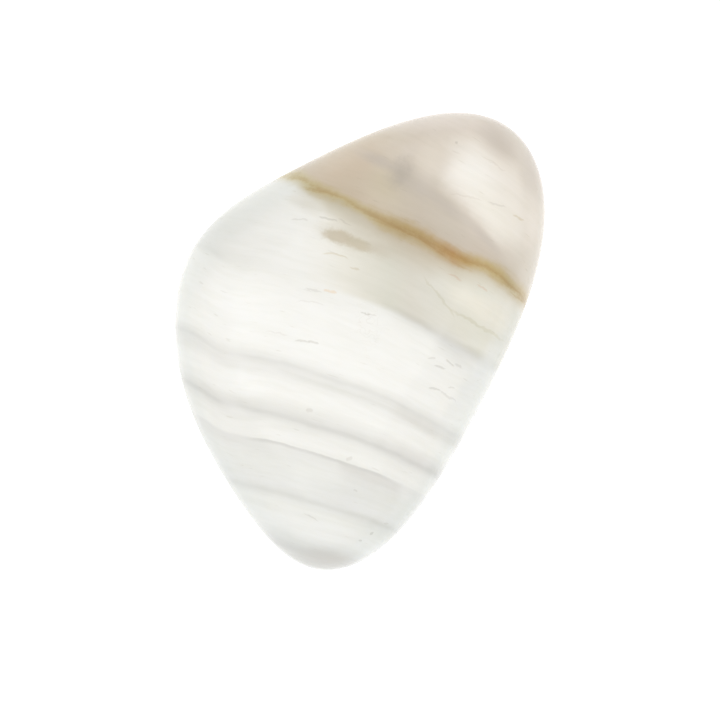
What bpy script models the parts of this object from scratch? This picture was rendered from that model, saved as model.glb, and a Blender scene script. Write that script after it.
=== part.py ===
"""A tumbled aragonite pebble, lying on its flattest side.

One piece of stone, modelled as one closed solid. Sizes are in millimetres and are turned into
metres where the mesh is made. +Z is up, +X is right, and +Y points from the narrow tip to the
broad crown. The origin is in the middle of the outline, on the surface that the stone rests on.
"""

import bmesh
import bpy
import numpy as np

MM = 0.001

# The outline seen from above is worn into seven long flats. Each faces a bearing, in degrees
# counter-clockwise from +X, and lies at a distance from the plan centre.
RIM_FLATS = (
    (0.0, 14.75),  # upper right flank
    (63.5, 21.35),  # crown
    (117.5, 14.65),  # long upper left edge
    (175.0, 14.65),  # left bulge
    (214.5, 14.00),  # lower left edge
    (289.5, 15.70),  # tip
    (331.5, 10.05),  # long lower right flank
)
CORNER_POWER = 6.25  # how tightly the rim turns from flat to flat: a higher power is sharper

# A section through the stone is a superellipse: power 2 is an ellipse, and more is boxier.
SECTION_POWER = 2.35
UPPER_SWELL = 7.3  # height of the upper side over the rim before its faces were worn flat
LOWER_SWELL = 6.1  # depth of the underside below the rim before its resting flat was worn

# The broad worn faces of the upper side. Each is a plane that cuts the swell: its height over
# the rim at the plan centre, how fast it falls, towards which bearing in degrees, and how far
# its edge is rounded.
WORN_FACES = (
    (6.55, 0.015, 250.0, 0.9),  # main face, nearly level
    (7.20, 0.130, 62.0, 1.3),  # falls towards the crown
    (7.55, 0.170, 138.0, 1.2),  # falls towards the upper left edge
    (7.70, 0.160, 262.0, 1.3),  # falls towards the tip
    (7.35, 0.200, 345.0, 1.0),  # falls towards the right flank
)

# The flat that the stone rests on: its depth below the rim, and how far its edge is rounded.
REST_DEPTH = 5.6
REST_EDGE = 0.14

# The rim isn't level: it rises twice and dips twice on the way round, highest at this bearing.
RIM_RISE = 0.42
RIM_RISE_BEARING = 35.0

# Shallow hollows and swells left by tumbling: height, and waves per millimetre along X and Y.
TUMBLE_WAVES = (
    (0.075, 0.055, 0.030),
    (0.055, -0.035, 0.075),
    (0.040, 0.095, 0.060),
)

CELLS = 24  # mesh cells along each edge of the cube that is drawn out into the pebble

STONE_COLOUR = (0.84, 0.83, 0.78, 1.0)
STONE_ROUGHNESS = 0.24


def clear_scene():
    """Removes whatever objects the startup file holds."""
    for item in list(bpy.data.objects):
        bpy.data.objects.remove(item, do_unlink=True)


def stone_material():
    """The plain cream-white finish of the polished stone."""
    material = bpy.data.materials.new("aragonite")
    material.use_nodes = True
    shader = material.node_tree.nodes["Principled BSDF"]
    shader.inputs["Base Color"].default_value = STONE_COLOUR
    shader.inputs["Roughness"].default_value = STONE_ROUGHNESS
    shader.inputs["Metallic"].default_value = 0.0
    return material


def rim_reach(bearing):
    """Distance of the rim at each bearing.

    A point of the plan lies a certain share of the way out to each flat that it faces. The rim
    is where the sum of those shares, each raised to the corner power, is 1, so every flat is
    touched and every corner is rounded.
    """
    facing, distance = np.array(RIM_FLATS).T
    share = np.cos(bearing[:, None] - np.radians(facing)) / distance
    return (np.clip(share, 0.0, None) ** CORNER_POWER).sum(axis=1) ** (-1.0 / CORNER_POWER)


def soft_min(first, second, rounding):
    """The lower of two heights, with the corner between them rounded off."""
    overlap = np.clip(rounding - np.abs(first - second), 0.0, None)
    return np.minimum(first, second) - overlap**2 / (4.0 * rounding)


def tumble_relief(x, y):
    """Height of the shallow hollows and swells at each place of the plan."""
    return sum(
        height * np.sin(2.0 * np.pi * (x * across + y * along) + 1.7 * index)
        for index, (height, across, along) in enumerate(TUMBLE_WAVES)
    )


def pebble_surface(directions):
    """Carries directions from the middle of the stone to points of its surface, in millimetres.

    Each direction gives a share of the rim's reach, out, and a share of the swell, up, with
    |out|^p + |up|^p = 1 for the section power p. The worn faces cut the upper swell, the rim's
    rise lifts both sides together, and the resting flat cuts the underside.
    """
    level = np.hypot(directions[:, 0], directions[:, 1])
    bearing = np.arctan2(directions[:, 1], directions[:, 0])
    norm = level**SECTION_POWER + np.abs(directions[:, 2]) ** SECTION_POWER
    out = level / norm ** (1.0 / SECTION_POWER)
    up = directions[:, 2] / norm ** (1.0 / SECTION_POWER)
    reach = out * rim_reach(bearing)
    x = reach * np.cos(bearing)
    y = reach * np.sin(bearing)

    upper = up * UPPER_SWELL
    for height, fall, towards, rounding in WORN_FACES:
        along = x * np.cos(np.radians(towards)) + y * np.sin(np.radians(towards))
        upper = soft_min(upper, height - fall * along, rounding)
    side = np.where(up >= 0.0, upper, up * LOWER_SWELL)
    rise = RIM_RISE * out**2 * np.cos(2.0 * (bearing - np.radians(RIM_RISE_BEARING)))
    z = side + tumble_relief(x, y) * up + rise
    z = -soft_min(-z, REST_DEPTH, REST_EDGE)
    return np.stack([x, y, z + REST_DEPTH], axis=1)


def build_stone():
    """Draws a finely divided cube out into the pebble."""
    shape = bmesh.new()
    bmesh.ops.create_cube(shape, size=2.0)
    bmesh.ops.subdivide_edges(shape, edges=shape.edges[:], cuts=CELLS - 1, use_grid_fill=True)
    cube = np.array([corner.co[:] for corner in shape.verts])
    # The tangent spreads the cells evenly over the sphere of directions.
    points = pebble_surface(np.tan(cube * np.pi / 4.0))
    points[:, :2] -= (points[:, :2].max(axis=0) + points[:, :2].min(axis=0)) / 2.0
    for corner, place in zip(shape.verts, points * MM):
        corner.co = place

    mesh = bpy.data.meshes.new("stone")
    shape.to_mesh(mesh)
    shape.free()
    mesh.shade_smooth()
    mesh.materials.append(stone_material())
    stone = bpy.data.objects.new("stone", mesh)
    bpy.context.scene.collection.objects.link(stone)
    return stone


clear_scene()
build_stone()
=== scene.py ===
"""The finished look of a tumbled aragonite pebble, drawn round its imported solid.

The stone lies on its flattest side, and the camera looks straight down on its broad face. Its
bands, vein and clouds are a solid pattern: they are worked out from the place of each point in
the stone, so they run on round the rim and over the underside.

Lengths in this file are millimetres, unless a name says otherwise, and the meshes are metres.
+X is right in the main view, +Y runs from the narrow tip up to the broad crown, and +Z is up.
"""

import logging
import math
from dataclasses import dataclass
from enum import Enum

import bpy
import numpy as np
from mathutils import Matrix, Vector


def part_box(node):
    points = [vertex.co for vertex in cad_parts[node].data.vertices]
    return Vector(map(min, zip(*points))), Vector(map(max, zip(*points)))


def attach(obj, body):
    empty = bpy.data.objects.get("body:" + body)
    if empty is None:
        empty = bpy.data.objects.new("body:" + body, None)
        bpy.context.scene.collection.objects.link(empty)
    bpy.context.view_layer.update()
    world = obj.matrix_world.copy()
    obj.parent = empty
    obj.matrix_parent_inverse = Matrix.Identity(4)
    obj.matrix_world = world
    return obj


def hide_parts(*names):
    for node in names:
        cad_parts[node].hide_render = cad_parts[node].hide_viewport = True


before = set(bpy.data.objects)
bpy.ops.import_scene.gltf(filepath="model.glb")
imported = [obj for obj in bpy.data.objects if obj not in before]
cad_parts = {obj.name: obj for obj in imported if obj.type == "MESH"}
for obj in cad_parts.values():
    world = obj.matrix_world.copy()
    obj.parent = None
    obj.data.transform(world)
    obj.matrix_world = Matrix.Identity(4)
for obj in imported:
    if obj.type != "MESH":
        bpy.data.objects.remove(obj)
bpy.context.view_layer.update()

MM = 0.001
LOG = logging.getLogger("pebble")

# The share of light that the polish throws back before it reaches the colour underneath.
POLISH_VEIL = 0.04

Point = tuple[float, float, float]
Spot = tuple[float, float]
Socket = bpy.types.NodeSocket
Feed = Socket | float | tuple[float, ...]


class Axis(Enum):
    """The three axes of the cube that is drawn out into the pebble."""

    ACROSS = 0
    ALONG = 1
    UP = 2


class Wire(Enum):
    """The kinds of value that an effect takes in or puts out."""

    NUMBER = "NodeSocketFloat"
    VECTOR = "NodeSocketVector"


class Calc(Enum):
    """The arithmetic that the masks are made with."""

    ADD = "ADD"
    TAKE = "SUBTRACT"
    TIMES = "MULTIPLY"
    TIMES_PLUS = "MULTIPLY_ADD"
    OVER = "DIVIDE"
    SIZE = "ABSOLUTE"
    ROOT = "SQRT"
    COSINE = "COSINE"
    SINE = "SINE"
    SOFT_LEAST = "SMOOTH_MIN"


class Blend(Enum):
    """How a tint is laid over what is under it."""

    COVER = "MIX"
    STAIN = "MULTIPLY"


@dataclass(frozen=True)
class Tint:
    """A colour as it shows in even light, from 0 to 255 for each of red, green and blue."""

    red: float
    green: float
    blue: float

    def linear(self) -> np.ndarray:
        """Gives the three values as linear light, from 0 to 1."""
        shown = np.array([self.red, self.green, self.blue]) / 255.0
        return np.where(shown <= 0.04045, shown / 12.92, ((shown + 0.055) / 1.055) ** 2.4)

    def base(self) -> tuple[float, ...]:
        """Gives the base colour that shows as this tint under the veil of the polish."""
        bare = (self.linear() - POLISH_VEIL) / (1.0 - POLISH_VEIL)
        return (*np.clip(bare, 0.0, 1.0).tolist(), 1.0)

    def stain(self) -> tuple[float, ...]:
        """Gives the shares of light that a stain of this tint lets through."""
        return (*self.linear().tolist(), 1.0)


class Sketch:
    """Draws up a node tree: adds nodes, gives their sockets values and joins them."""

    def __init__(self, tree: bpy.types.NodeTree) -> None:
        """Takes the tree to draw in."""
        self.tree = tree

    def node(
        self, kind: str, feeds: dict[str | int, Feed] | None = None, **settings: object,
    ) -> bpy.types.Node:
        """Adds a node.

        Args:
            kind: The node's type name.
            feeds: What each input gets, by the input's name or number.
            settings: Properties of the node itself.

        Returns:
            The new node.
        """
        made = self.tree.nodes.new(kind)
        for name, value in settings.items():
            setattr(made, name, value)
        for place, value in (feeds or {}).items():
            self.feed(made.inputs[place], value)
        return made

    def feed(self, socket: Socket, value: Feed) -> None:
        """Joins a socket to another one, or gives it a fixed value.

        Args:
            socket: The input to fill.
            value: An output socket, a number or a tuple.
        """
        if isinstance(value, bpy.types.NodeSocket):
            self.tree.links.new(value, socket)
        else:
            socket.default_value = value

    def calc(self, how: Calc, *terms: Feed) -> Socket:
        """Does one piece of arithmetic.

        Args:
            how: The arithmetic.
            terms: One to three numbers or sockets.

        Returns:
            The result's socket.
        """
        return self.node("ShaderNodeMath", dict(enumerate(terms)), operation=how.value).outputs[0]

    def total(self, first: Feed, *others: Feed) -> Socket:
        """Adds up numbers and sockets."""
        for other in others:
            first = self.calc(Calc.ADD, first, other)
        return first

    def product(self, first: Feed, *others: Feed) -> Socket:
        """Multiplies numbers and sockets."""
        for other in others:
            first = self.calc(Calc.TIMES, first, other)
        return first

    def step(self, value: Feed, low: Feed, high: Feed, start: Feed = 0.0, stop: Feed = 1.0) -> Socket:
        """Goes smoothly from start to stop while the value goes from low to high."""
        feeds = {"Value": value, "From Min": low, "From Max": high, "To Min": start, "To Max": stop}
        return self.node("ShaderNodeMapRange", feeds, interpolation_type="SMOOTHSTEP").outputs[0]

    def scale(self, value: Feed, low: float, high: float, start: float, stop: float) -> Socket:
        """Carries the value in a straight line from low..high to start..stop."""
        feeds = {"Value": value, "From Min": low, "From Max": high, "To Min": start, "To Max": stop}
        return self.node("ShaderNodeMapRange", feeds, clamp=False).outputs[0]

    def noise(self, place: Feed, per_mm: float, detail: float = 2.0) -> Socket:
        """Makes cloudy noise about zero, mostly from -0.3 to 0.3.

        Args:
            place: A position in millimetres.
            per_mm: How many clouds fit in a millimetre.
            detail: How many finer layers of cloud are added.

        Returns:
            The noise's socket.
        """
        feeds = {"Vector": place, "Scale": per_mm, "Detail": detail, "Roughness": 0.55}
        cloud = self.node("ShaderNodeTexNoise", feeds, noise_dimensions="3D").outputs["Fac"]
        return self.calc(Calc.TAKE, cloud, 0.5)

    def split(self, place: Feed) -> tuple[Socket, Socket, Socket]:
        """Takes a position apart into its three numbers."""
        parts = self.node("ShaderNodeSeparateXYZ", {0: place}).outputs
        return parts["X"], parts["Y"], parts["Z"]

    def offset(self, place: Feed, centre: Feed, axis: tuple[Feed, Feed, Feed]) -> Socket:
        """Gives how far a position lies from a centre along an axis, in lengths of the axis.

        Args:
            place: The position.
            centre: The centre.
            axis: The axis's three numbers, each divided by the square of its length.

        Returns:
            The distance's socket.
        """
        way = self.node("ShaderNodeCombineXYZ", dict(enumerate(axis))).outputs[0]
        here, there = (
            self.node("ShaderNodeVectorMath", {0: at, 1: way}, operation="DOT_PRODUCT").outputs["Value"]
            for at in (place, centre)
        )
        return self.calc(Calc.TAKE, here, there)

    def plan_offsets(
        self, place: Feed, centre: Feed, turn: Feed, length: Feed, width: Feed,
    ) -> tuple[Socket, Socket]:
        """Gives how far a position lies from a centre along two turned axes of the plan.

        Args:
            place: The position.
            centre: The centre.
            turn: The angle of the axes in radians, counter-clockwise.
            length: The unit of the first distance.
            width: The unit of the second distance.

        Returns:
            The sockets of the two distances.
        """
        cosine, sine = self.calc(Calc.COSINE, turn), self.calc(Calc.SINE, turn)
        forward = (self.calc(Calc.OVER, cosine, length), self.calc(Calc.OVER, sine, length), 0.0)
        back_sine = self.product(sine, -1.0)
        aside = (self.calc(Calc.OVER, back_sine, width), self.calc(Calc.OVER, cosine, width), 0.0)
        return self.offset(place, centre, forward), self.offset(place, centre, aside)

    def curve(self, value: Feed, points: tuple[Spot, ...]) -> Socket:
        """Runs a value through a smooth curve.

        Args:
            value: The value to look up, in the units of the points' first numbers.
            points: A few points that the curve passes through, from the lowest value up.

        Returns:
            The height of the curve at that value.
        """
        across, heights = np.array(points).T
        low, high = float(across[0]), float(across[-1])
        floor, top = float(heights.min()) - 0.5, float(heights.max()) + 0.5
        bend = self.node("ShaderNodeFloatCurve", {"Value": self.scale(value, low, high, 0.0, 1.0)})
        line = bend.mapping.curves[0]
        for _ in points[2:]:
            line.points.new(0.5, 0.5)
        for spot, x, y in zip(line.points, across, heights):
            spot.location = ((x - low) / (high - low), (y - floor) / (top - floor))
        bend.mapping.update()
        return self.scale(bend.outputs[0], 0.0, 1.0, floor, top)

    def ramp(self, value: Feed, stops: tuple[tuple[float, Tint], ...]) -> Socket:
        """Looks a base colour up by a value.

        Args:
            value: The value, in the units of the stops' numbers.
            stops: Values and the tints that they have, from the lowest up.

        Returns:
            The colour's socket.
        """
        low, high = stops[0][0], stops[-1][0]
        made = self.node("ShaderNodeValToRGB", {"Fac": self.scale(value, low, high, 0.0, 1.0)})
        band = made.color_ramp.elements
        band[0].color = stops[0][1].base()
        band[1].color = stops[-1][1].base()
        for at, tint in stops[1:-1]:
            band.new((at - low) / (high - low)).color = tint.base()
        return made.outputs["Color"]

    def lay(self, under: Feed, tint: Feed | Tint, mask: Feed, how: Blend = Blend.COVER) -> Socket:
        """Lays a tint over a colour.

        Args:
            under: The colour so far.
            tint: The colour to lay on.
            mask: How much of it shows, from 0 to 1.
            how: Whether it covers or stains.

        Returns:
            The new colour's socket.
        """
        if isinstance(tint, Tint):
            tint = tint.base() if how is Blend.COVER else tint.stain()
        mix = self.node("ShaderNodeMix", data_type="RGBA", blend_type=how.value)
        self.feed(mix.inputs["Factor"], mask)
        self.feed(mix.inputs[6], under)
        self.feed(mix.inputs[7], tint)
        return mix.outputs[2]


class Effect:
    """A node group that is built once and placed in a material as often as it is needed."""

    name: str = ""
    takes: tuple[tuple[str, Wire], ...] = ()
    gives: tuple[str, ...] = ("Mask",)

    def draw(self, sketch: Sketch, given: bpy.types.bpy_prop_collection) -> tuple[Socket, ...]:
        """Draws the group's inside.

        Args:
            sketch: The group's tree.
            given: The group's inputs, by name.

        Returns:
            One socket for each output, in their order.
        """
        raise NotImplementedError

    def group(self) -> bpy.types.NodeTree:
        """Gives the group, which is built on the first call."""
        known = bpy.data.node_groups.get(self.name)
        if known:
            return known
        tree = bpy.data.node_groups.new(self.name, "ShaderNodeTree")
        for name, wire in self.takes:
            tree.interface.new_socket(name, in_out="INPUT", socket_type=wire.value)
        for name in self.gives:
            tree.interface.new_socket(name, in_out="OUTPUT", socket_type=Wire.NUMBER.value)
        sketch = Sketch(tree)
        results = self.draw(sketch, sketch.node("NodeGroupInput").outputs)
        sketch.node("NodeGroupOutput", dict(zip(self.gives, results)))
        return tree

    def place(self, sketch: Sketch, label: str = "", **feeds: Feed) -> bpy.types.bpy_prop_collection:
        """Puts the group into a tree.

        Args:
            sketch: The tree that it goes into.
            label: What the placed node is called in the tree.
            feeds: What each input gets, its name written with _ for a space.

        Returns:
            The group's outputs.
        """
        made = sketch.node("ShaderNodeGroup", node_tree=self.group(), label=label)
        for name, value in feeds.items():
            sketch.feed(made.inputs[name.replace("_", " ")], value)
        return made.outputs


class GrowthDepth(Effect):
    """How deep a point lies in the stack of growth sheets, along the way that the stone grew.

    The depth is counted from the first grey band, towards the tip. All the sheets are parallel
    to that band, whose trace on the broad face is a curve of a few points. Below the rim the
    sheets lean over, and slow noise makes them undulate.
    """

    name = "growth depth"
    takes = (
        ("X", Wire.NUMBER), ("Y", Wire.NUMBER), ("Z", Wire.NUMBER), ("Slow", Wire.NUMBER),
        ("Quick", Wire.NUMBER),
    )
    gives = ("Depth",)

    # x and y of points on the first grey band. They go back to measurements of the photograph,
    # thinned and shifted.
    BAND_TRACE = (
        (-16.0, 2.10), (-13.0, 0.75), (-11.8, 0.14), (-10.2, -0.78), (-8.8, -1.12), (-7.0, -1.42),
        (-4.0, -2.23), (-0.9, -3.20), (1.5, -4.08), (4.0, -5.28), (6.8, -6.86), (9.0, -8.05),
        (11.0, -9.30), (13.0, -10.95), (16.0, -14.0),
    )
    LEAN = 0.30
    LEAN_FROM = 6.5
    LEAN_EASE = 3.0
    SLOW_WAVE = 0.30
    QUICK_WAVE = 0.20

    def draw(self, sketch: Sketch, given: bpy.types.bpy_prop_collection) -> tuple[Socket, ...]:
        """Depth = trace(x) - y + lean * min(z - start, 0) + slow noise + quick noise."""
        trace = sketch.curve(given["X"], self.BAND_TRACE)
        under = sketch.calc(Calc.TAKE, given["Z"], self.LEAN_FROM)
        under = sketch.calc(Calc.SOFT_LEAST, under, 0.0, self.LEAN_EASE)
        return (sketch.total(
            sketch.calc(Calc.TAKE, trace, given["Y"]),
            sketch.product(under, self.LEAN),
            sketch.product(given["Slow"], self.SLOW_WAVE),
            sketch.product(given["Quick"], self.QUICK_WAVE),
        ),)


class SheetGrain(Effect):
    """Fine streaks that run along the growth sheets: noise drawn out along them."""

    name = "sheet grain"
    takes = (("Depth", Wire.NUMBER), ("Along", Wire.NUMBER), ("Height", Wire.NUMBER))
    gives = ("Broad", "Fine")

    DRAWN_OUT = 0.16

    def draw(self, sketch: Sketch, given: bpy.types.bpy_prop_collection) -> tuple[Socket, ...]:
        """Noise of (along * small, depth, height * small), coarse and fine."""
        along = sketch.product(given["Along"], self.DRAWN_OUT)
        height = sketch.product(given["Height"], self.DRAWN_OUT)
        place = sketch.node("ShaderNodeCombineXYZ", {0: along, 1: given["Depth"], 2: height}).outputs[0]
        return sketch.noise(place, 0.6), sketch.noise(place, 2.7)


class SoftPatch(Effect):
    """A cloudy patch inside the stone: an ellipsoid with a soft and slightly ragged edge.

    Up is the square of the height over the ellipsoid's middle, in shares of its upright radius.
    """

    name = "soft patch"
    takes = (
        ("Position", Wire.VECTOR), ("Up", Wire.NUMBER), ("Ragged", Wire.NUMBER),
        ("Centre", Wire.VECTOR), ("Length", Wire.NUMBER), ("Width", Wire.NUMBER),
        ("Turn", Wire.NUMBER), ("Inside", Wire.NUMBER), ("Outside", Wire.NUMBER),
        ("Strength", Wire.NUMBER),
    )

    def draw(self, sketch: Sketch, given: bpy.types.bpy_prop_collection) -> tuple[Socket, ...]:
        """The share of the way out to the ellipsoid, plus noise, steps down from strength to 0."""
        along, across = sketch.plan_offsets(
            given["Position"], given["Centre"], given["Turn"], given["Length"], given["Width"],
        )
        square = sketch.calc(Calc.TIMES_PLUS, along, along, given["Up"])
        out = sketch.calc(Calc.ROOT, sketch.calc(Calc.TIMES_PLUS, across, across, square))
        ragged = sketch.total(out, given["Ragged"])
        return (sketch.step(ragged, given["Outside"], given["Inside"], 0.0, given["Strength"]),)


class FineLine(Effect):
    """A thin darker sheet that crosses the stone, with its own edges and ends."""

    name = "fine line"
    takes = (
        ("Depth", Wire.NUMBER), ("Along", Wire.NUMBER), ("Patchy", Wire.NUMBER),
        ("At", Wire.NUMBER), ("Rise", Wire.NUMBER), ("Fall", Wire.NUMBER),
        ("Start", Wire.NUMBER), ("End", Wire.NUMBER), ("Fade", Wire.NUMBER),
    )

    def draw(self, sketch: Sketch, given: bpy.types.bpy_prop_collection) -> tuple[Socket, ...]:
        """Product of a rise and a fall across the sheet, a fade at each end, and patchiness."""
        below = sketch.calc(Calc.TAKE, given["Depth"], given["At"])
        above = sketch.product(given["Rise"], -1.0)
        from_start = sketch.calc(Calc.TAKE, given["Along"], given["Start"])
        to_end = sketch.calc(Calc.TAKE, given["End"], given["Along"])
        return (sketch.product(
            sketch.step(below, above, 0.0),
            sketch.step(below, given["Fall"], 0.0),
            sketch.step(from_start, 0.0, given["Fade"]),
            sketch.step(to_end, 0.0, given["Fade"]),
            given["Patchy"],
        ),)


class SeamRun(Effect):
    """The run of the iron-stained seam: the depth past its middle, its breadth and its stain."""

    name = "seam run"
    takes = (("Depth", Wire.NUMBER), ("Along", Wire.NUMBER))
    gives = ("Past", "Breadth", "Seep")

    # Each list gives x and then a length: the depth of the seam's middle, its breadth, and how far
    # its stain reaches. They go back to measurements of the photograph, thinned and shifted.
    WANDER = (
        (-16.0, -15.2), (-4.7, -14.40), (-3.3, -13.88), (-1.2, -13.65), (0.8, -13.30), (2.1, -13.14),
        (4.0, -13.30), (6.5, -13.30), (8.1, -13.54), (10.0, -13.90), (12.3, -13.62), (16.0, -13.5),
    )
    BREADTH = (
        (-16.0, 0.50), (-5.0, 0.50), (-3.5, 0.52), (-2.3, 0.37), (0.0, 0.35), (1.6, 0.55),
        (4.0, 0.58), (7.0, 0.53), (9.3, 0.50), (10.6, 0.60), (12.0, 0.64), (16.0, 0.64),
    )
    SEEP_REACH = (
        (-16.0, 1.6), (-3.5, 1.9), (-2.2, 2.5), (-0.6, 3.3), (0.5, 3.6), (4.5, 3.5), (6.5, 2.5), (16.0, 2.3),
    )
    # Where the stain weakens towards each end: two places along x, and the share that is left.
    LEFT_FADE = (-5.2, -4.2, 0.4)
    RIGHT_FADE = (12.5, 9.0, 0.7)

    def draw(self, sketch: Sketch, given: bpy.types.bpy_prop_collection) -> tuple[Socket, ...]:
        """Depth minus the seam's wandering middle, and a fade below it that is weaker at the ends."""
        past = sketch.calc(Calc.TAKE, given["Depth"], sketch.curve(given["Along"], self.WANDER))
        reach = sketch.curve(given["Along"], self.SEEP_REACH)
        seep = sketch.product(
            sketch.step(past, reach, 0.0),
            sketch.step(given["Along"], *self.LEFT_FADE),
            sketch.step(given["Along"], *self.RIGHT_FADE),
        )
        return past, sketch.curve(given["Along"], self.BREADTH), seep


class OchreVein(Effect):
    """The seam itself: its ragged body and its darker grains and strands."""

    name = "ochre vein"
    takes = (
        ("Past", Wire.NUMBER), ("Breadth", Wire.NUMBER), ("Noise", Wire.NUMBER),
        ("Strand", Wire.NUMBER), ("Grain", Wire.NUMBER),
    )
    gives = ("Body", "Core")

    # How far each noise shifts the seam's edge, in millimetres.
    EDGE_SHIFTS = {"Noise": 0.32, "Strand": 0.40, "Grain": 0.08}
    # How much each noise breaks up the core, in breadths.
    CORE_SHIFTS = {"Strand": 2.6, "Grain": 1.0}
    BODY_EDGE = (2.05, 0.15)
    CORE_EDGE = (1.0, -0.4)

    def draw(self, sketch: Sketch, given: bpy.types.bpy_prop_collection) -> tuple[Socket, ...]:
        """Masks of the ragged distance from the seam's middle, over its breadth."""
        edge = [sketch.product(given[noise], shift) for noise, shift in self.EDGE_SHIFTS.items()]
        ragged = sketch.total(given["Past"], *edge)
        off = sketch.calc(Calc.OVER, sketch.calc(Calc.SIZE, ragged), given["Breadth"])
        core = [sketch.product(given[noise], shift) for noise, shift in self.CORE_SHIFTS.items()]
        dark = sketch.total(off, *core)
        return sketch.step(off, *self.BODY_EDGE), sketch.step(dark, *self.CORE_EDGE)


class ShortMark(Effect):
    """One short fine crack or chip: a bowed dash with soft edges."""

    name = "short mark"
    takes = (
        ("Position", Wire.VECTOR), ("Centre", Wire.VECTOR), ("Half Length", Wire.NUMBER),
        ("Half Width", Wire.NUMBER), ("Turn", Wire.NUMBER), ("Bow", Wire.NUMBER),
    )

    GONE, FULL = 1.3, 0.1

    def draw(self, sketch: Sketch, given: bpy.types.bpy_prop_collection) -> tuple[Socket, ...]:
        """A step down from 1 to 0 as along^4 + (across + bow * along^2)^2 goes from full to gone."""
        along, across = sketch.plan_offsets(
            given["Position"], given["Centre"], given["Turn"], given["Half Length"], given["Half Width"],
        )
        bow = sketch.calc(Calc.OVER, given["Bow"], given["Half Width"])
        square = sketch.product(along, along)
        bowed = sketch.calc(Calc.TIMES_PLUS, square, bow, across)
        out = sketch.calc(Calc.TIMES_PLUS, bowed, bowed, sketch.product(square, square))
        return (sketch.step(out, self.GONE, self.FULL),)


class Nicks(Effect):
    """Scattered hairline nicks of the worn skin, lying along the growth sheets."""

    name = "nicks"
    takes = (("Depth", Wire.NUMBER), ("Along", Wire.NUMBER), ("Height", Wire.NUMBER))

    CRESTS_PER_MM = (0.75, 4.2, 1.1)
    CREST = (0.20, 0.30)

    def draw(self, sketch: Sketch, given: bpy.types.bpy_prop_collection) -> tuple[Socket, ...]:
        """The crests of noise that is drawn out along the sheets."""
        parts = (given["Along"], given["Depth"], given["Height"])
        stretched = [sketch.product(part, often) for part, often in zip(parts, self.CRESTS_PER_MM)]
        place = sketch.node("ShaderNodeCombineXYZ", dict(enumerate(stretched))).outputs[0]
        return (sketch.step(sketch.noise(place, 1.0, 1.0), *self.CREST),)


class Crazing(Effect):
    """Tiny worm-like wrinkles of the skin: the lines where fine noise passes through zero."""

    name = "crazing"
    takes = (("Position", Wire.VECTOR),)

    PER_MM = 1.5
    LINE_EDGE = 0.035

    def draw(self, sketch: Sketch, given: bpy.types.bpy_prop_collection) -> tuple[Socket, ...]:
        """A soft line wherever the size of the noise is nearly nothing."""
        worms = sketch.calc(Calc.SIZE, sketch.noise(given["Position"], self.PER_MM, 1.0))
        return (sketch.step(worms, self.LINE_EDGE, 0.0),)


class Edge(Enum):
    """How uneven a cloud's edge is: the shares of the slow, the quick and the finest noise."""

    SOFT = (0.3, 0.1, 0.0)
    UNEVEN = (0.8, 0.5, 0.4)


class Level(Enum):
    """Where a cloud lies in the thickness of the stone: its middle's height and its upright radius."""

    RIM = (8.0, 6.0)
    UPPER = (9.0, 6.0)
    FACE = (10.0, 6.0)
    SKIN = (11.0, 5.0)


@dataclass(frozen=True)
class Cloud:
    """A soft patch of another colour inside the stone, or of painted shade near the rim and the tip.

    Places and radii are millimetres, the turn is in degrees counter-clockwise, and inside and
    outside are the shares of the radii at which the patch is full and gone.
    """

    name: str
    level: Level
    middle: Spot
    radii: Spot
    turn: float
    tint: Tint
    strength: float = 1.0
    inside: float = 0.1
    outside: float = 1.5
    edge: Edge = Edge.SOFT


@dataclass(frozen=True)
class Hairline:
    """A thin dark sheet: its depth in the stack, its soft edges, its ends and its stain."""

    name: str
    depth: float
    rise: float
    fall: float
    tint: Tint
    start: float
    end: float
    fade: float


@dataclass(frozen=True)
class Mark:
    """A short crack or chip of the upper side: its middle, half sizes, turn, bow and stain."""

    middle: Spot
    half_length: float
    half_width: float
    turn: float
    bow: float
    tint: Tint


@dataclass(frozen=True)
class Site:
    """What is known of a point of the stone: its place in millimetres, its depth and its noise."""

    place: Socket
    x: Socket
    z: Socket
    coarse: Socket
    fine: Socket
    grain: Socket
    depth: Socket
    broad: Socket
    streak: Socket
    up: dict[Level, Socket]

    @classmethod
    def drawn(cls, sketch: Sketch) -> "Site":
        """Draws up the sockets that all the layers of the finish share.

        Args:
            sketch: The material's tree.

        Returns:
            The sockets.
        """
        ground = sketch.node("ShaderNodeTexCoord").outputs["Object"]
        larger = sketch.node("ShaderNodeVectorMath", {0: ground}, operation="SCALE")
        sketch.feed(larger.inputs["Scale"], 1.0 / MM)
        place = larger.outputs[0]
        x, y, z = sketch.split(place)
        slow, quick = sketch.noise(place, 0.13, 1.0), sketch.noise(place, 0.83)
        coarse, fine, grain = (sketch.noise(place, per_mm) for per_mm in (0.47, 1.55, 4.3))
        depth = GrowthDepth().place(sketch, X=x, Y=y, Z=z, Slow=slow, Quick=quick)["Depth"]
        broad, streak = SheetGrain().place(sketch, Depth=depth, Along=x, Height=z)
        over = {level: sketch.scale(z, level.value[0], sum(level.value), 0.0, 1.0) for level in Level}
        up = {level: sketch.product(share, share) for level, share in over.items()}
        return cls(place, x, z, coarse, fine, grain, depth, broad, streak, up)


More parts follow.
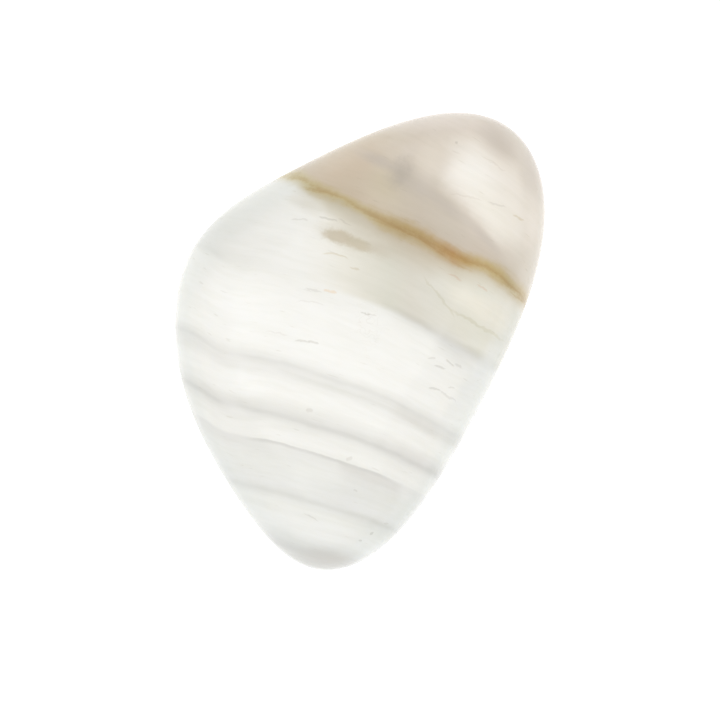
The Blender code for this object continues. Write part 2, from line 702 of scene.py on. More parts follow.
@dataclass(frozen=True)
class Aragonite:
    """The polished finish of the banded stone."""

    name: str = "banded aragonite"
    roughness: Spot = (0.15, 0.25)
    subsurface_weight: float = 0.30
    subsurface_radius: Point = (1.0, 0.92, 0.78)
    subsurface_scale: float = 0.9
    ior: float = 1.6

    # The noises of the surface: clouds per millimetre, and how much of each is used.
    worn_per_mm: float = 0.33
    worn_range: Spot = (-0.22, 0.22)
    peel_per_mm: float = 1.15
    peel_strength: float = 0.3
    peel_depth: float = 0.015

    # The noise at which a layer comes in, and is full. The patchy one goes from 1 to a share.
    patchy_range: tuple[float, ...] = (-0.05, 0.2, 1.0, 0.6)
    broad_range: Spot = (-0.2, 0.25)
    streak_range: Spot = (-0.15, 0.25)
    mark_wobble: float = 0.35

    # The depths or heights at which a layer comes in, and is full, in millimetres.
    clear_edge: Spot = (-6.45, -7.05)
    # The next two place the painted shade of the rim: the rim's height, and the distances from it at which
    # the shade comes in and is full.
    rim_height: float = 5.7
    painted_rim_shade: Spot = (4.9, 2.9)
    crown_edge: Spot = (0.15, -0.25)
    halo_edge: Spot = (-2.0, -0.6)
    mark_heights: Spot = (6.0, 8.0)

    crazed_middle: Point = (0.6, 1.3, 0.0)
    crazed_radii: Spot = (1.1, 2.0)

    # The tints in the lists below, and those of the clouds, were first read off the photograph.
    # They were then changed by the differences measured between render and photograph.

    # The milky sheets, from the edge of the clearer sheet down to the tip.
    stack: tuple[tuple[float, Tint], ...] = (
        (-7.0, Tint(241, 240, 234)),
        (-6.0, Tint(244, 243, 238)),
        (-5.2, Tint(246, 245, 240)),
        (-3.7, Tint(248, 247, 242)),
        (-1.5, Tint(249, 248, 243)),
        (-0.8, Tint(247, 246, 241)),
        (-0.1, Tint(236, 235, 230)),
        (0.3, Tint(236, 235, 230)),
        (0.8, Tint(239, 238, 233)),
        (1.5, Tint(247, 246, 241)),
        (2.3, Tint(249, 248, 243)),
        (3.0, Tint(241, 240, 235)),
        (3.75, Tint(227, 226, 221)),
        (3.95, Tint(228, 227, 222)),
        (4.5, Tint(241, 240, 235)),
        (5.3, Tint(245, 244, 239)),
        (5.8, Tint(243, 242, 237)),
        (5.95, Tint(235, 234, 230)),
        (7.5, Tint(239, 239, 234)),
        (8.9, Tint(237, 237, 233)),
        (9.65, Tint(231, 231, 227)),
        (10.4, Tint(242, 242, 237)),
        (11.3, Tint(244, 244, 240)),
        (12.1, Tint(243, 243, 239)),
        # From here to the tip, the darker stops are partly rings of the sheets and partly painted shade of
        # the tip.
        (12.9, Tint(234, 234, 230)),
        (13.6, Tint(220, 219, 215)),
        (14.0, Tint(229, 228, 224)),
        (14.4, Tint(223, 222, 218)),
        (15.0, Tint(230, 229, 225)),
    )

    # The clearer sheet between the milky ones and the vein, from left to right.
    clear_sheet: tuple[tuple[float, Tint], ...] = (
        (-12.0, Tint(233, 232, 227)),
        (-9.5, Tint(238, 237, 232)),
        (-7.5, Tint(240, 239, 234)),
        (-4.5, Tint(242, 241, 236)),
        (-2.8, Tint(240, 238, 231)),
        (-1.2, Tint(235, 232, 222)),
        (0.5, Tint(227, 224, 212)),
        (2.2, Tint(221, 219, 206)),
        (3.8, Tint(221, 217, 205)),
        (5.4, Tint(225, 222, 211)),
        (7.2, Tint(230, 227, 215)),
        (9.0, Tint(232, 230, 218)),
        (11.0, Tint(235, 232, 221)),
    )

    # The beige crown above the vein, from left to right.
    crown: tuple[tuple[float, Tint], ...] = (
        (-5.0, Tint(204, 193, 177)),
        (-2.0, Tint(206, 193, 173)),
        (0.5, Tint(209, 196, 177)),
        (2.5, Tint(206, 195, 176)),
        (4.5, Tint(204, 193, 177)),
        (6.5, Tint(206, 196, 181)),
        (9.0, Tint(211, 200, 186)),
        (12.5, Tint(221, 213, 200)),
    )

    vein: tuple[tuple[float, Tint], ...] = (
        (-5.0, Tint(201, 190, 152)),
        (-4.0, Tint(200, 189, 152)),
        (-3.0, Tint(199, 184, 147)),
        (-1.0, Tint(197, 181, 141)),
        (0.5, Tint(195, 179, 138)),
        (1.6, Tint(189, 168, 121)),
        (3.0, Tint(182, 158, 108)),
        (4.5, Tint(183, 158, 108)),
        (5.5, Tint(187, 160, 111)),
        (6.9, Tint(186, 149, 93)),
        (7.8, Tint(187, 156, 97)),
        (9.0, Tint(197, 175, 125)),
        (10.3, Tint(198, 178, 132)),
        (11.2, Tint(196, 180, 142)),
        (12.6, Tint(210, 195, 162)),
    )

    seep: tuple[tuple[float, Tint], ...] = (
        (-5.0, Tint(214, 211, 198)),
        (-3.8, Tint(202, 196, 176)),
        (-2.6, Tint(198, 189, 165)),
        (-0.5, Tint(197, 188, 168)),
        (3.0, Tint(195, 183, 161)),
        (7.0, Tint(197, 182, 154)),
        (9.2, Tint(211, 201, 179)),
        (12.5, Tint(224, 216, 201)),
    )

    def clouds(self) -> tuple[Cloud, ...]:
        """Gives the patches of the upper side, in the order that they are laid."""
        uneven = Edge.UNEVEN
        rim, upper, face, skin = Level
        return (
            Cloud(
                "bright window", upper, (9.6, 11.8), (6.1, 3.3), -50.0, Tint(235, 227, 216), 1.0, 0.5, 1.25,
            ),
            Cloud("window core", face, (8.6, 12.4), (3.0, 2.0), -40.0, Tint(249, 245, 238), 1.0, 0.1, 1.4),
            Cloud("window right", face, (11.1, 9.8), (1.7, 2.8), 6.0, Tint(241, 235, 225), 0.85),
            Cloud("window tail", face, (9.7, 9.8), (3.2, 1.3), -54.0, Tint(244, 239, 229), 0.95, 0.1, 1.4),
            Cloud("beige shoulder", upper, (-0.5, 13.2), (3.6, 1.5), 22.0, Tint(210, 195, 175)),
            Cloud("yellow patch", upper, (1.9, 11.9), (1.3, 1.9), -10.0, Tint(209, 198, 175), 0.8),
            Cloud("light upper edge", upper, (4.2, 14.1), (3.0, 1.7), 8.0, Tint(223, 213, 200)),
            Cloud("mauve haze", upper, (1.5, 13.5), (2.0, 0.5), -24.0, Tint(203, 193, 182), 0.8),
            Cloud(
                "mauve cloud", upper, (3.1, 12.5), (1.0, 1.3), -8.0, Tint(190, 181, 170),
                0.9, 0.0, 1.5, uneven,
            ),
            Cloud(
                "cloud foot", upper, (4.5, 11.7), (1.1, 1.1), 10.0, Tint(197, 188, 177),
                0.8, 0.0, 1.5, uneven,
            ),
            Cloud("tail", upper, (6.4, 10.1), (2.1, 0.50), -38.0, Tint(200, 190, 178), 0.9),
            Cloud("tail end", upper, (9.2, 7.8), (2.0, 0.38), -48.0, Tint(205, 195, 184), 0.75),
            Cloud("window shoulder", upper, (5.3, 13.4), (1.1, 1.8), -12.0, Tint(231, 222, 209), 0.8),
            # Painted shade: the next cloud darkens the top rim, where the surface turns from the light, in
            # the crown's beige.
            Cloud("crown rim painted shade", rim, (6.4, 16.5), (5.4, 1.15), 0.0, Tint(222, 212, 201)),
            Cloud("rim spot", rim, (10.5, 15.0), (1.9, 1.1), -42.0, Tint(208, 198, 187), 0.9),
            # Painted shade: the next cloud darkens the right rim, where the surface turns from the light.
            Cloud("right rim painted shade", rim, (13.0, 13.2), (1.0, 2.8), 6.0, Tint(216, 207, 196)),
            Cloud("cream patch", face, (8.9, 2.5), (2.5, 1.0), -33.0, Tint(240, 236, 223)),
            Cloud("right shade", face, (6.9, -0.5), (2.2, 0.9), -50.0, Tint(226, 225, 221), 0.55),
            # Painted shade: a grey band along the lower right rim, where the side turns from the light.
            Cloud("right flank painted shade", upper, (8.6, -3.0), (4.2, 0.8), 56.0, Tint(233, 234, 231), 0.7),
            Cloud("white left", upper, (-9.2, 2.3), (2.8, 2.2), -14.0, Tint(254, 253, 248), 0.9),
            Cloud("lower white left", upper, (-9.0, -3.1), (2.3, 0.85), -16.0, Tint(254, 253, 249), 0.85),
            Cloud("upper band end", upper, (-9.9, -0.75), (1.7, 0.6), -30.0, Tint(245, 244, 240), 0.6),
            Cloud("lower band end", upper, (-9.2, -5.15), (1.5, 0.45), -14.0, Tint(245, 244, 240), 0.8),
            Cloud("low sheet", upper, (-1.0, -11.3), (2.8, 1.3), -16.0, Tint(228, 228, 224), 0.6),
            # Partly the greyer, clearer stone of the tip, and partly painted shade where the tip turns from
            # the light.
            Cloud("tip grey and painted shade", face, (-2.4, -16.5), (2.2, 0.9), -4.0, Tint(210, 208, 203), 0.9),
            Cloud("left seep", upper, (-4.0, 10.2), (1.5, 0.6), -25.0, Tint(219, 215, 203), 0.65),
            Cloud(
                "blotch haze", skin, (-0.5, 7.6), (2.8, 1.1), -18.0, Tint(219, 213, 199),
                0.7, 0.1, 1.4, uneven,
            ),
            Cloud(
                "blotch left", skin, (-1.55, 7.78), (1.3, 0.6), -14.0, Tint(203, 192, 170),
                0.85, 0.5, 1.25, uneven,
            ),
            Cloud(
                "blotch right", skin, (0.0, 7.20), (1.2, 0.52), -22.0, Tint(202, 192, 169),
                0.85, 0.5, 1.25, uneven,
            ),
            Cloud(
                "blotch end", skin, (1.4, 6.90), (1.2, 0.5), -22.0, Tint(208, 200, 183),
                0.7, 0.1, 1.4, uneven,
            ),
        )

    def hairlines(self) -> tuple[Hairline, ...]:
        """Gives the thin sheets, from the clear sheet's edge down to the tip."""
        return (
            Hairline("clear edge", -6.75, 0.8, 0.8, Tint(238, 238, 238), 0.5, 13.0, 4.0),
            Hairline("band edge", -0.02, 0.32, 0.30, Tint(249, 249, 249), -15.0, 9.5, 1.5),
            Hairline("band second edge", 0.62, 0.25, 0.5, Tint(250, 250, 249), -7.0, 9.8, 3.0),
            Hairline("band right end", 0.5, 0.7, 1.0, Tint(249, 248, 247), 1.5, 10.2, 2.8),
            Hairline("dark band core", 3.85, 0.35, 0.3, Tint(249, 249, 249), -14.4, 8.4, 2.2),
            Hairline("dark band right", 3.4, 1.1, 1.4, Tint(251, 250, 250), 0.5, 9.0, 3.5),
            Hairline("crisp line", 5.93, 0.12, 0.30, Tint(238, 238, 237), -9.0, 3.2, 2.4),
            Hairline("dim sheet", 6.15, 0.25, 2.4, Tint(246, 245, 244), -1.9, 3.4, 0.9),
            Hairline("deep line", 9.6, 0.35, 0.35, Tint(250, 250, 249), -11.0, 5.8, 1.8),
            Hairline("deep line right", 9.75, 0.6, 1.6, Tint(249, 249, 248), -2.5, 6.4, 2.5),
        )

    def marks(self) -> tuple[Mark, ...]:
        """Gives the cracks and chips that can be picked out one by one."""
        faint, grey, dark = Tint(248, 247, 246), Tint(243, 242, 241), Tint(237, 236, 234)
        tan, orange, red = Tint(243, 239, 230), Tint(251, 239, 226), Tint(249, 239, 233)
        olive = Tint(246, 245, 239)
        return (
            Mark((-2.35, 9.15), 0.75, 0.09, -15.0, 0.08, dark),
            Mark((-1.10, 8.87), 0.60, 0.08, -24.0, 0.04, grey),
            Mark((-4.45, 9.10), 0.65, 0.08, -4.0, 0.05, grey),
            Mark((-1.76, 6.47), 1.05, 0.08, -10.0, 0.22, tan),
            Mark((-0.35, 5.43), 0.40, 0.08, -18.0, 0.05, tan),
            Mark((-2.20, 3.72), 0.52, 0.12, -16.0, 0.05, orange),
            Mark((-3.40, 3.82), 0.70, 0.08, -12.0, 0.05, grey),
            Mark((-3.62, 2.92), 1.10, 0.07, -7.0, 0.12, faint),
            Mark((0.42, 2.05), 0.40, 0.08, -14.0, 0.02, dark),
            Mark((0.95, 1.96), 0.34, 0.08, -10.0, 0.02, grey),
            Mark((-4.25, -0.02), 0.62, 0.08, -4.0, 0.03, dark),
            Mark((-3.45, -0.12), 0.45, 0.08, -16.0, -0.04, dark),
            Mark((-6.15, 0.60), 0.85, 0.07, -12.0, 0.05, faint),
            Mark((5.95, -1.88), 0.50, 0.10, -8.0, 0.10, dark),
            Mark((6.75, -1.60), 0.42, 0.08, -36.0, 0.03, dark),
            Mark((7.35, -1.80), 0.32, 0.08, -28.0, 0.00, grey),
            Mark((5.35, -1.28), 0.30, 0.08, -5.0, 0.00, grey),
            Mark((5.60, -3.52), 0.42, 0.09, -20.0, 0.02, dark),
            Mark((6.55, -4.08), 0.85, 0.08, -34.0, 0.03, grey),
            Mark((6.82, -3.50), 0.28, 0.07, -5.0, 0.00, grey),
            Mark((-3.63, -13.10), 0.66, 0.07, -24.0, 0.10, grey),
            Mark((0.92, -14.38), 0.11, 0.11, 0.0, 0.00, dark),
            Mark((0.02, -14.97), 0.13, 0.10, 0.0, 0.00, dark),
            Mark((-3.77, -5.18), 0.26, 0.20, 0.0, 0.00, grey),
            Mark((-0.80, -8.77), 0.22, 0.15, 10.0, 0.00, grey),
            Mark((-0.35, -11.17), 0.18, 0.10, -15.0, 0.00, grey),
            Mark((8.00, 10.78), 1.25, 0.07, -13.0, 0.04, faint),
            Mark((10.24, 10.23), 0.75, 0.07, -17.0, 0.02, grey),
            Mark((11.83, 9.20), 0.50, 0.08, -28.0, 0.00, tan),
            Mark((10.26, 13.09), 0.80, 0.07, -28.0, 0.03, faint),
            Mark((7.20, 14.82), 0.12, 0.12, 0.0, 0.00, dark),
            Mark((5.97, 3.35), 2.00, 0.09, -52.0, 0.15, olive),
            Mark((8.81, 1.20), 2.45, 0.14, -29.0, 0.05, olive),
            Mark((7.09, 4.77), 0.62, 0.08, -22.0, 0.04, red),
            Mark((9.11, 3.95), 0.50, 0.08, -38.0, 0.03, red),
        )

    def material(self) -> bpy.types.Material:
        """Makes the stone's material.

        Returns:
            A material whose colour, roughness and relief come from the solid pattern.
        """
        made = bpy.data.materials.new(self.name)
        made.use_nodes = True
        sketch = Sketch(made.node_tree)
        shader = made.node_tree.nodes["Principled BSDF"]
        site = Site.drawn(sketch)
        colour = self.sheets(sketch, site)
        colour = self.crown_and_clouds(sketch, colour, site)
        colour = self.marked(sketch, colour, site)
        colour = self.vein_and_grain(sketch, colour, site)
        nicks = Nicks().place(sketch, Depth=site.depth, Along=site.x, Height=site.z)["Mask"]
        colour = sketch.lay(colour, Tint(246, 245, 243), nicks, Blend.STAIN)
        colour = self.crazed(sketch, colour, site)
        sketch.feed(shader.inputs["Base Color"], colour)
        self.surface(sketch, shader, site)
        return made

    def sheets(self, sketch: Sketch, site: Site) -> Socket:
        """Colours the milky sheets, the clear sheet and the thin dark ones, and greys the band round the rim
        as painted shade.

        Args:
            sketch: The material's tree.
            site: The shared sockets.

        Returns:
            The colour's socket.
        """
        patchy = sketch.step(site.coarse, *self.patchy_range)
        colour = sketch.ramp(site.depth, self.stack)
        clear = sketch.step(site.depth, *self.clear_edge)
        colour = sketch.lay(colour, sketch.ramp(site.x, self.clear_sheet), clear)
        for line in self.hairlines():
            mask = FineLine().place(
                sketch, line.name, Depth=site.depth, Along=site.x, Patchy=patchy, At=line.depth,
                Rise=line.rise, Fall=line.fall, Start=line.start, End=line.end, Fade=line.fade,
            )["Mask"]
            colour = sketch.lay(colour, line.tint, mask, Blend.STAIN)
        # Painted shade: a grey stain over the band round the rim's height, where the sides turn away from
        # the light.
        off_rim = sketch.calc(Calc.SIZE, sketch.calc(Calc.TAKE, site.z, self.rim_height))
        shade = sketch.step(off_rim, *self.painted_rim_shade)
        return sketch.lay(colour, Tint(242, 244, 244), shade, Blend.STAIN)

    def crown_and_clouds(self, sketch: Sketch, colour: Socket, site: Site) -> Socket:
        """Lays the stain under the vein, the crown above it and the clouds.

        Args:
            sketch: The material's tree.
            colour: The colour so far.
            site: The shared sockets.

        Returns:
            The new colour's socket.
        """
        seam = SeamRun().place(sketch, Depth=site.depth, Along=site.x)
        colour = sketch.lay(colour, sketch.ramp(site.x, self.seep), seam["Seep"])
        crown = sketch.step(seam["Past"], *self.crown_edge)
        colour = sketch.lay(colour, sketch.ramp(site.x, self.crown), crown)
        halo = sketch.product(crown, sketch.step(seam["Past"], *self.halo_edge))
        colour = sketch.lay(colour, Tint(249, 247, 244), halo, Blend.STAIN)
        ragged = {
            edge: sketch.total(*map(sketch.product, (site.coarse, site.fine, site.grain), edge.value))
            for edge in Edge
        }
        for cloud in self.clouds():
            length, width = cloud.radii
            mask = SoftPatch().place(
                sketch, cloud.name, Position=site.place, Up=site.up[cloud.level],
                Ragged=ragged[cloud.edge], Centre=(*cloud.middle, 0.0), Length=length, Width=width,
                Turn=math.radians(cloud.turn), Inside=cloud.inside, Outside=cloud.outside,
                Strength=cloud.strength,
            )["Mask"]
            colour = sketch.lay(colour, cloud.tint, mask)
        return colour

    def vein_and_grain(self, sketch: Sketch, colour: Socket, site: Site) -> Socket:
        """Lays the vein and the streaks of the growth sheets.

        Args:
            sketch: The material's tree.
            colour: The colour so far.
            site: The shared sockets.

        Returns:
            The new colour's socket.
        """
        seam = SeamRun().place(sketch, Depth=site.depth, Along=site.x)
        body, core = OchreVein().place(
            sketch, Past=seam["Past"], Breadth=seam["Breadth"], Noise=site.fine, Strand=site.streak,
            Grain=site.grain,
        )
        colour = sketch.lay(colour, sketch.ramp(site.x, self.vein), body)
        colour = sketch.lay(colour, Tint(237, 226, 210), core, Blend.STAIN)
        broad = sketch.step(site.broad, *self.broad_range)
        colour = sketch.lay(colour, Tint(251, 251, 250), broad, Blend.STAIN)
        streak = sketch.step(site.streak, *self.streak_range)
        return sketch.lay(colour, Tint(252, 252, 251), streak, Blend.STAIN)

    def crazed(self, sketch: Sketch, colour: Socket, site: Site) -> Socket:
        """Lays tiny wrinkles over one patch in the middle of the broad face.

        Args:
            sketch: The material's tree.
            colour: The colour so far.
            site: The shared sockets.

        Returns:
            The new colour's socket.
        """
        length, width = self.crazed_radii
        patch = SoftPatch().place(
            sketch, "crazed patch", Position=site.place, Up=site.up[Level.SKIN], Ragged=site.coarse,
            Centre=self.crazed_middle, Length=length, Width=width, Turn=0.0, Inside=0.4,
            Outside=1.3, Strength=1.0,
        )["Mask"]
        worms = Crazing().place(sketch, Position=site.place)["Mask"]
        return sketch.lay(colour, Tint(249, 248, 247), sketch.product(patch, worms), Blend.STAIN)

    def marked(self, sketch: Sketch, colour: Socket, site: Site) -> Socket:
        """Lays the single marks on the upper side.

        Args:
            sketch: The material's tree.
            colour: The colour so far.
            site: The shared sockets.

        Returns:
            The new colour's socket.
        """
        wobble = sketch.product(site.fine, self.mark_wobble)
        aside = sketch.node("ShaderNodeCombineXYZ", {0: wobble, 1: wobble}).outputs[0]
        wavy = sketch.node("ShaderNodeVectorMath", {0: site.place, 1: aside}).outputs[0]
        stains = Tint(255, 255, 255).stain()
        for mark in self.marks():
            mask = ShortMark().place(
                sketch, Position=wavy, Centre=(*mark.middle, 0.0), Half_Length=mark.half_length,
                Half_Width=mark.half_width, Turn=math.radians(mark.turn), Bow=mark.bow,
            )["Mask"]
            stains = sketch.lay(stains, mark.tint, mask, Blend.STAIN)
        return sketch.lay(colour, stains, sketch.step(site.z, *self.mark_heights), Blend.STAIN)

    def surface(self, sketch: Sketch, shader: bpy.types.Node, site: Site) -> None:
        """Sets the polish, the glow and the fine relief.

        Args:
            sketch: The material's tree.
            shader: The material's Principled BSDF.
            site: The shared sockets.
        """
        worn = sketch.noise(site.place, self.worn_per_mm)
        rough = sketch.step(worn, *self.worn_range, *self.roughness)
        sketch.feed(shader.inputs["Roughness"], rough)
        peel = sketch.noise(site.place, self.peel_per_mm)
        relief = sketch.node("ShaderNodeBump", {
            "Strength": self.peel_strength, "Distance": self.peel_depth * MM, "Height": peel,
        })
        sketch.feed(shader.inputs["Normal"], relief.outputs[0])
        shader.inputs["IOR"].default_value = self.ior
        shader.inputs["Subsurface Weight"].default_value = self.subsurface_weight
        shader.inputs["Subsurface Radius"].default_value = self.subsurface_radius
        shader.inputs["Subsurface Scale"].default_value = self.subsurface_scale * MM


@dataclass(frozen=True)
class RimFlat:
    """A worn flat of the outline: the bearing that it faces and its distance from the middle."""

    bearing: float
    distance: float


@dataclass(frozen=True)
class WornFace:
    """A worn plane of the upper side: height at the middle, fall, its bearing, and rounding."""

    height: float
    fall: float
    towards: float
    rounding: float


@dataclass
class Pebble:
    """The stone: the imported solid's own form, drawn on a much finer grid.

    The sizes repeat those that the solid was made with, and the result is fitted to the solid's
    box, so the two have the same outline.
    """

    node: str = "stone"
    cells: int = 128
    # The flats and the corner power are the rounded result of a fit to the photograph's outline.
    rim_flats: tuple[RimFlat, ...] = (
        RimFlat(0.0, 14.75), RimFlat(63.5, 21.35), RimFlat(117.5, 14.65), RimFlat(175.0, 14.65),
        RimFlat(214.5, 14.00), RimFlat(289.5, 15.70), RimFlat(331.5, 10.05),
    )
    corner_power: float = 6.25
    section_power: float = 2.35
    upper_swell: float = 7.3
    lower_swell: float = 6.1
    worn_faces: tuple[WornFace, ...] = (
        WornFace(6.55, 0.015, 250.0, 0.9), WornFace(7.20, 0.130, 62.0, 1.3),
        WornFace(7.55, 0.170, 138.0, 1.2), WornFace(7.70, 0.160, 262.0, 1.3),
        WornFace(7.35, 0.200, 345.0, 1.0),
    )
    rest_depth: float = 5.6
    rest_edge: float = 0.14
    rim_rise: float = 0.42
    rim_rise_bearing: float = 35.0
    tumble_waves: tuple[Point, ...] = ((0.075, 0.055, 0.030), (0.055, -0.035, 0.075), (0.040, 0.095, 0.060))
    fine_waves: tuple[Point, ...] = ((0.010, 0.21, 0.33), (0.008, -0.37, 0.26), (0.006, 0.52, -0.31))

    def reach(self, bearing: np.ndarray) -> np.ndarray:
        """Gives the distance of the rim, where the shares of the way to each flat, raised to
        the corner power, add up to 1.

        Args:
            bearing: Bearings in radians, counter-clockwise from +X.

        Returns:
            The distance at each bearing, in millimetres.
        """
        facing = np.radians([flat.bearing for flat in self.rim_flats])
        distance = np.array([flat.distance for flat in self.rim_flats])
        share = np.clip(np.cos(bearing[:, None] - facing) / distance, 0.0, None)
        return (share**self.corner_power).sum(axis=1) ** (-1.0 / self.corner_power)

    @staticmethod
    def soft_min(first: np.ndarray, second: np.ndarray | float, rounding: float) -> np.ndarray:
        """Gives the lower of two heights, less the square of their overlap over four roundings.

        Args:
            first: The first heights.
            second: The second heights, or one height for all.
            rounding: How far the corner between the two is rounded off.

        Returns:
            The heights.
        """
        overlap = np.clip(rounding - np.abs(first - second), 0.0, None)
        return np.minimum(first, second) - overlap**2 / (4.0 * rounding)

    @staticmethod
    def waves(x: np.ndarray, y: np.ndarray, sizes: tuple[Point, ...]) -> np.ndarray:
        """Adds up sine waves over the plan.

        Args:
            x: Places along X.
            y: Places along Y.
            sizes: For each wave its height, and its waves per millimetre along X and Y.

        Returns:
            The height at each place.
        """
        return sum(
            height * np.sin(2.0 * np.pi * (x * across + y * along) + 1.7 * index)
            for index, (height, across, along) in enumerate(sizes)
        )

    def surface(self, directions: np.ndarray) -> np.ndarray:
        """Carries directions to the stone's surface.

        The share of the reach and the share of the swell, each raised to the section power, add
        up to 1. Planes cut the upper swell, the rim's rise lifts both sides, and the resting
        flat cuts the underside.

        Args:
            directions: One direction from the middle of the stone in each row.

        Returns:
            The points, in millimetres.
        """
        level = np.hypot(directions[:, 0], directions[:, 1])
        bearing = np.arctan2(directions[:, 1], directions[:, 0])
        norm = level**self.section_power + np.abs(directions[:, 2]) ** self.section_power
        out = level / norm ** (1.0 / self.section_power)
        up = directions[:, 2] / norm ** (1.0 / self.section_power)
        reach = out * self.reach(bearing)
        x, y = reach * np.cos(bearing), reach * np.sin(bearing)
        upper = up * self.upper_swell
        for face in self.worn_faces:
            towards = math.radians(face.towards)
            along = x * math.cos(towards) + y * math.sin(towards)
            upper = self.soft_min(upper, face.height - face.fall * along, face.rounding)
        side = np.where(up >= 0.0, upper, up * self.lower_swell)
        rise = self.rim_rise * out**2 * np.cos(2.0 * (bearing - math.radians(self.rim_rise_bearing)))
        relief = self.waves(x, y, self.tumble_waves) + self.waves(x, y, self.fine_waves)
        z = -self.soft_min(-(side + relief * up + rise), self.rest_depth, self.rest_edge)
        return np.stack([x, y, z + self.rest_depth], axis=1)

    def cube_grid(self) -> tuple[np.ndarray, np.ndarray]:
        """Lays a square grid on each face of a cube, with shared corners along the edges.

        Returns:
            The corners as whole numbers from 0 to the cell count, and the quads as four corner
            numbers each, turning so that they face outwards.
        """
        count = self.cells
        lines, steps = np.arange(count + 1), np.arange(count)
        first, second = (part.ravel() for part in np.meshgrid(lines, lines, indexing="ij"))
        row, column = (part.ravel() for part in np.meshgrid(steps, steps, indexing="ij"))
        corner = row * (count + 1) + column
        quad = np.stack([corner, corner + count + 1, corner + count + 2, corner + 1], axis=1)
        corners, quads = [], []
        for axis in Axis:
            for side in (0, count):
                spots = np.empty((len(first), 3), dtype=np.int64)
                spots[:, axis.value] = side
                spots[:, (axis.value + 1) % 3] = first
                spots[:, (axis.value + 2) % 3] = second
                turned = quad if side else quad[:, ::-1]
                quads.append(turned + len(first) * len(corners))
                corners.append(spots)
        shared, number = np.unique(np.concatenate(corners), axis=0, return_inverse=True)
        return shared, number.reshape(-1)[np.concatenate(quads)]

    def build(self) -> bpy.types.Object:
        """Makes the stone's mesh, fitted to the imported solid's box.

        Returns:
            The object, at the origin, with its place in its mesh.
        """
        corners, quads = self.cube_grid()
        points = self.surface(np.tan((2.0 * corners / self.cells - 1.0) * np.pi / 4.0))
        low, high = (np.array(end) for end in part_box(self.node))
        least, most = points.min(axis=0), points.max(axis=0)
        points = low + (points - least) / (most - least) * (high - low)
        mesh = bpy.data.meshes.new("pebble")
        mesh.from_pydata(points, [], quads)
        mesh.shade_smooth()
        piece = bpy.data.objects.new("pebble", mesh)
        bpy.context.scene.collection.objects.link(piece)
        return piece

    def dress(self, piece: bpy.types.Object, finish: Aragonite) -> None:
        """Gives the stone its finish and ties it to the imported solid.

        Args:
            piece: The stone.
            finish: The finish that it takes.
        """
        piece.data.materials.append(finish.material())
        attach(piece, "root")
        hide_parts(self.node)
        LOG.info("%s: %d faces", piece.name, len(piece.data.polygons))


@dataclass(frozen=True)
class PaleFloor:
    """A matte white floor that glows a little round the stone, like a light table."""

    name: str = "pale floor"
    tint: Tint = Tint(232, 232, 232)
    glow: float = 0.44
    glow_reach: Spot = (60.0, 420.0)

    def material(self) -> bpy.types.Material:
        """Makes the floor's material, whose glow fades with the distance from the stone."""
        made = bpy.data.materials.new(self.name)
        made.use_nodes = True
        sketch = Sketch(made.node_tree)
        shader = made.node_tree.nodes["Principled BSDF"]
        ground = sketch.node("ShaderNodeTexCoord").outputs["Object"]
        away = sketch.node("ShaderNodeVectorMath", {0: ground}, operation="LENGTH").outputs["Value"]
        near, far = (reach * MM for reach in self.glow_reach)
        sketch.feed(shader.inputs["Emission Strength"], sketch.step(away, near, far, self.glow, 0.0))
        shader.inputs["Emission Color"].default_value = (1.0, 1.0, 1.0, 1.0)
        shader.inputs["Base Color"].default_value = self.tint.base()
        shader.inputs["Roughness"].default_value = 0.6
        return made


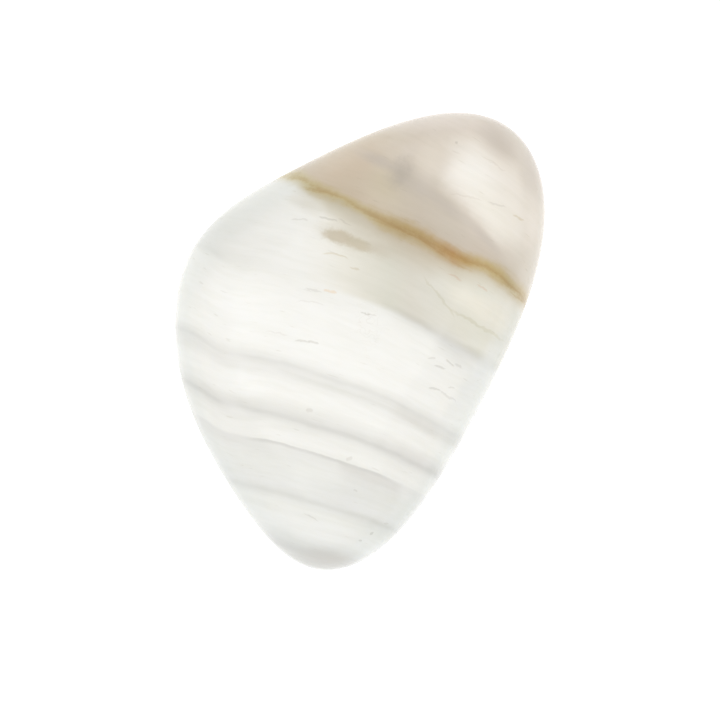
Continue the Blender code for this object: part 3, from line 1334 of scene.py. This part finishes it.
@dataclass
class Studio:
    """The floor, the light and the camera."""

    floor_radius: float = 2200.0
    floor_sides: int = 96
    frame_width_px: int = 720
    mm_per_px: float = 0.076
    stone_middle_px: Spot = (359.7, 341.5)
    frame_middle_px: Spot = (360.0, 361.5)
    lens_mm: float = 180.0
    sensor_mm: float = 36.0
    rim_height: float = 5.7
    softbox_size: float = 700.0
    softbox_place: Point = (-60.0, 40.0, 700.0)
    softbox_watts: float = 0.75
    sky_top: float = 0.90
    sky_edge: float = 0.78

    def floor(self) -> bpy.types.Object:
        """Makes the floor, a flat round disc just under the stone.

        Returns:
            The floor.
        """
        bearing = np.linspace(0.0, 2.0 * np.pi, self.floor_sides, endpoint=False)
        rim = np.stack([np.cos(bearing), np.sin(bearing), np.zeros_like(bearing)], axis=1)
        mesh = bpy.data.meshes.new("floor")
        mesh.from_pydata(rim * self.floor_radius * MM, [], [range(self.floor_sides)])
        mesh.materials.append(PaleFloor().material())
        disc = bpy.data.objects.new("floor", mesh)
        bpy.context.scene.collection.objects.link(disc)
        return disc

    def softbox(self) -> bpy.types.Object:
        """Hangs one large soft light over the stone, aimed at it.

        Returns:
            The light.
        """
        lamp = bpy.data.lights.new("softbox", "AREA")
        lamp.shape = "DISK"
        lamp.size = self.softbox_size * MM
        lamp.energy = self.softbox_watts
        light = bpy.data.objects.new("softbox", lamp)
        x, y, z = (part * MM for part in self.softbox_place)
        light.location = (x, y, z)
        light.rotation_euler = (0.0, math.atan2(math.hypot(x, y), z), math.atan2(y, x))
        bpy.context.scene.collection.objects.link(light)
        return light

    def sky(self) -> None:
        """Lights the room evenly, a little darker towards the horizon."""
        world = bpy.data.worlds.new("white room")
        bpy.context.scene.world = world
        world.use_nodes = True
        sketch = Sketch(world.node_tree)
        shader = world.node_tree.nodes["Background"]
        way = sketch.node("ShaderNodeTexCoord").outputs["Generated"]
        up = sketch.split(way)[2]
        shader.inputs["Color"].default_value = (1.0, 1.0, 1.0, 1.0)
        sketch.feed(shader.inputs["Strength"], sketch.step(up, 0.0, 0.8, self.sky_edge, self.sky_top))

    def camera(self) -> bpy.types.Object:
        """Sets the camera straight above the stone, so that the rim has the photograph's scale.

        Returns:
            The camera.
        """
        eye = bpy.data.cameras.new("camera")
        eye.sensor_fit = "HORIZONTAL"
        eye.sensor_width = self.sensor_mm
        eye.lens = self.lens_mm
        distance = self.frame_width_px * self.mm_per_px * self.lens_mm / self.sensor_mm
        right = (self.frame_middle_px[0] - self.stone_middle_px[0]) * self.mm_per_px
        down = (self.frame_middle_px[1] - self.stone_middle_px[1]) * self.mm_per_px
        camera = bpy.data.objects.new("camera", eye)
        camera.location = (right * MM, -down * MM, (self.rim_height + distance) * MM)
        bpy.context.scene.collection.objects.link(camera)
        bpy.context.scene.camera = camera
        bpy.context.scene.view_settings.view_transform = "Standard"
        return camera


def main() -> None:
    """Builds the stone and its studio."""
    logging.basicConfig(level=logging.INFO, format="%(name)s: %(message)s")
    pebble = Pebble()
    pebble.dress(pebble.build(), Aragonite())
    studio = Studio()
    for part in (studio.floor(), studio.softbox(), studio.camera()):
        LOG.info("%s is in place", part.name)
    studio.sky()


if __name__ == "__main__":
    main()
